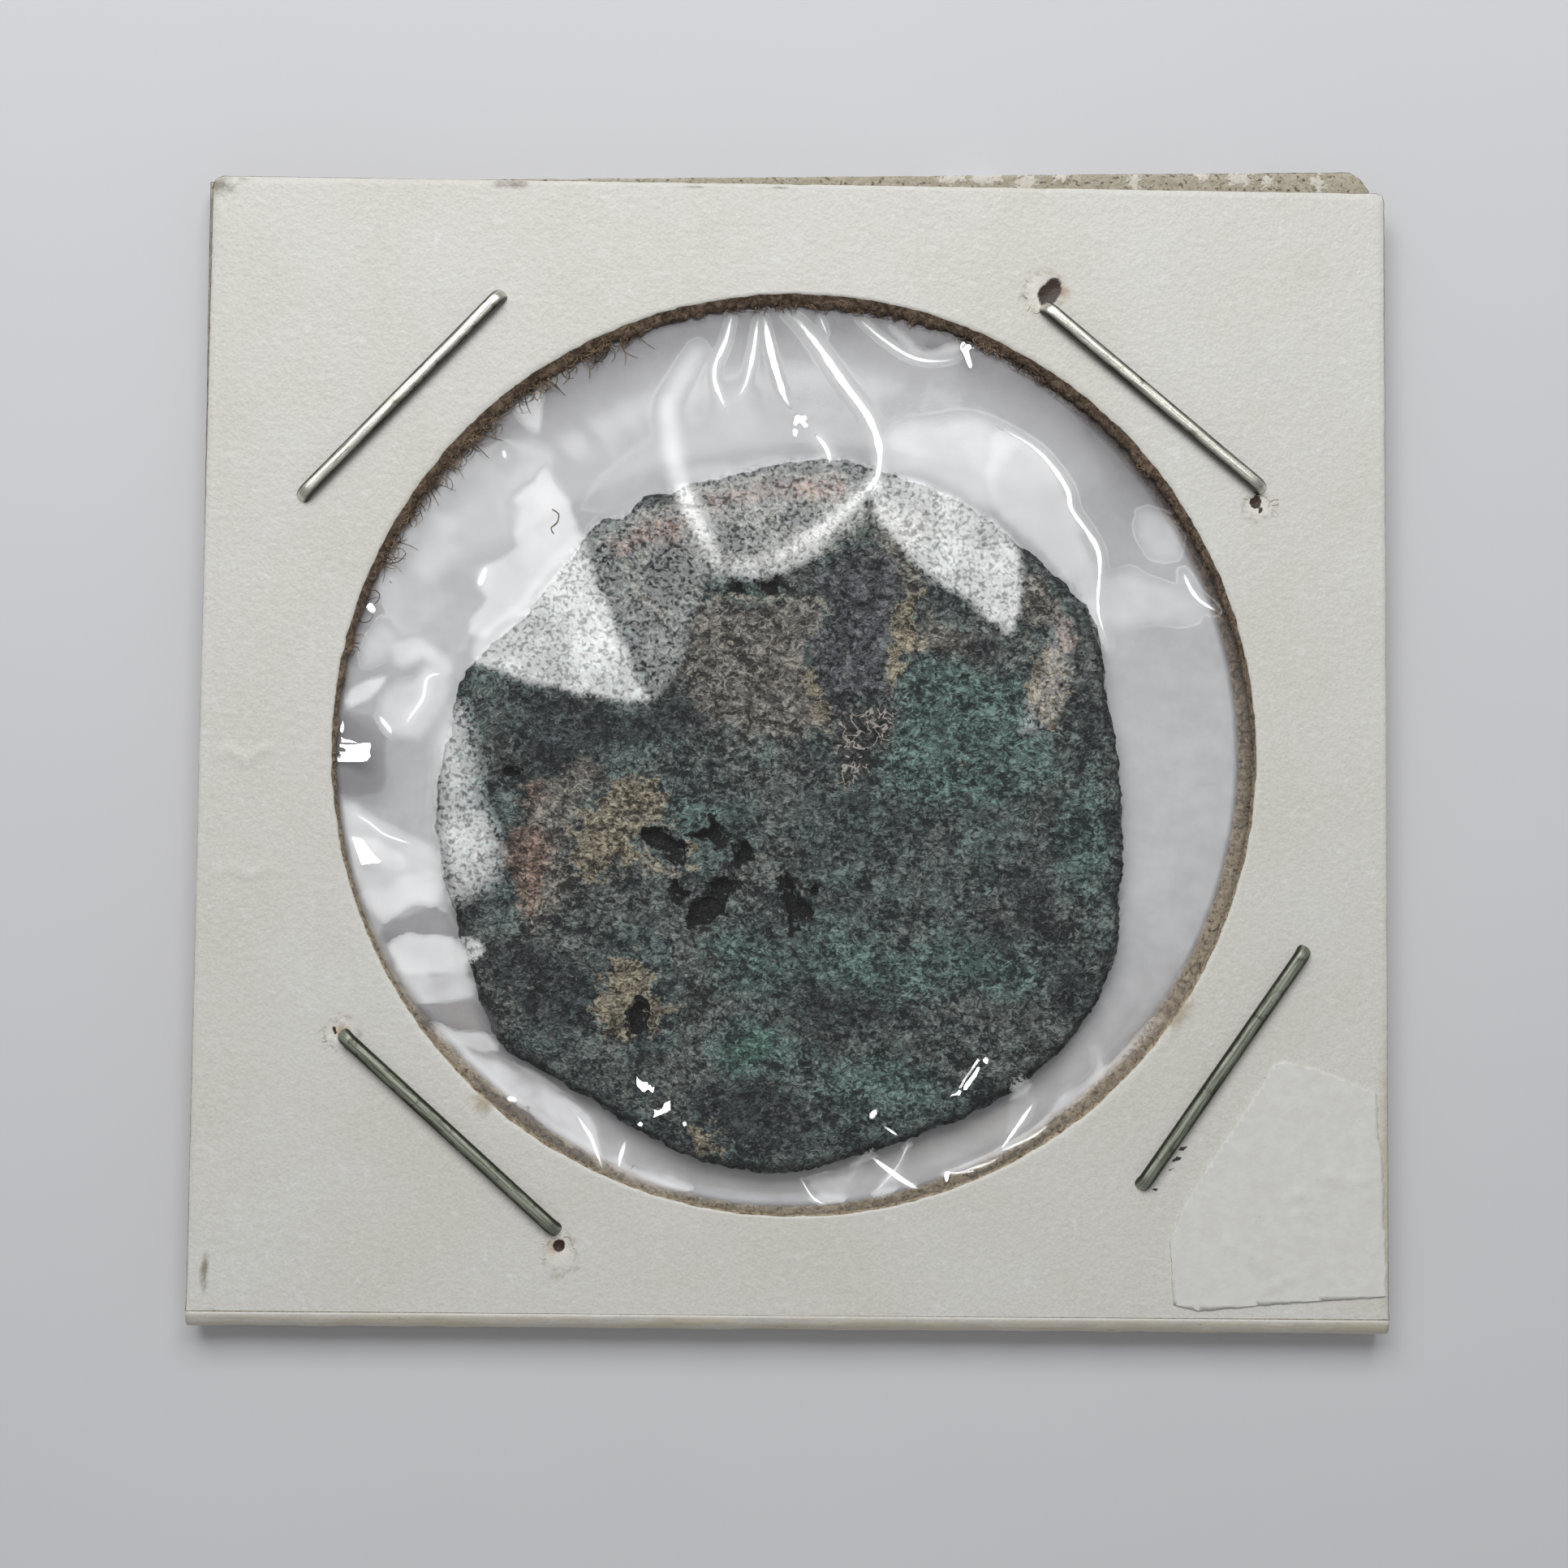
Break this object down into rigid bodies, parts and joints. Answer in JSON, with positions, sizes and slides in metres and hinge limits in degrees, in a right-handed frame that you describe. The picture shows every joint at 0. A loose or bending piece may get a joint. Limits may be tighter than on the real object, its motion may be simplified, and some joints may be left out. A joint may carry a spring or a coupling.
{
  "type": "coin in a stapled card holder",
  "caption": "Worn round bronze coin loose between clear films in a square folded cardboard holder with round windows, stapled shut near each corner.",
  "frame": {"origin": "on the table, under the middle of the whole object's box", "axes": "+X to the right across the front of the card, +Y from the fold to the open edge, +Z out of the front face, towards whoever looks at the coin"},
  "size_m": [0.051, 0.0504, 0.0024],
  "materials": {
    "board": "white-faced kraft board, slightly pebbled and stained, brown at its cut edges",
    "clear_film": "thin clear glossy film, creased and pleated",
    "label_paper": "thin white paper, creased",
    "bright_steel": "bright drawn wire",
    "dull_steel": "dull drawn wire with a green-brown tarnish",
    "patinated_bronze": "rough dark grey-green patina with ochre and pale crusts"
  },
  "bodies": {
    "holder": {"front_leaf": "board", "back_leaf": "board", "fold_strip": "board", "front_film": "clear_film", "back_film": "clear_film", "paper_label": "label_paper", "staple_top_left": "bright_steel", "staple_top_right": "bright_steel", "staple_bottom_left": "dull_steel", "staple_bottom_right": "dull_steel"},
    "coin": {"coin": "patinated_bronze"}
  },
  "joints": [
    {"name": "coin_turn", "type": "hinge", "parent": "holder", "child": "coin", "pos_m": [0, -0.00348, 0.0012], "axis": [0, 0, 1], "continuous": true}
  ]
}
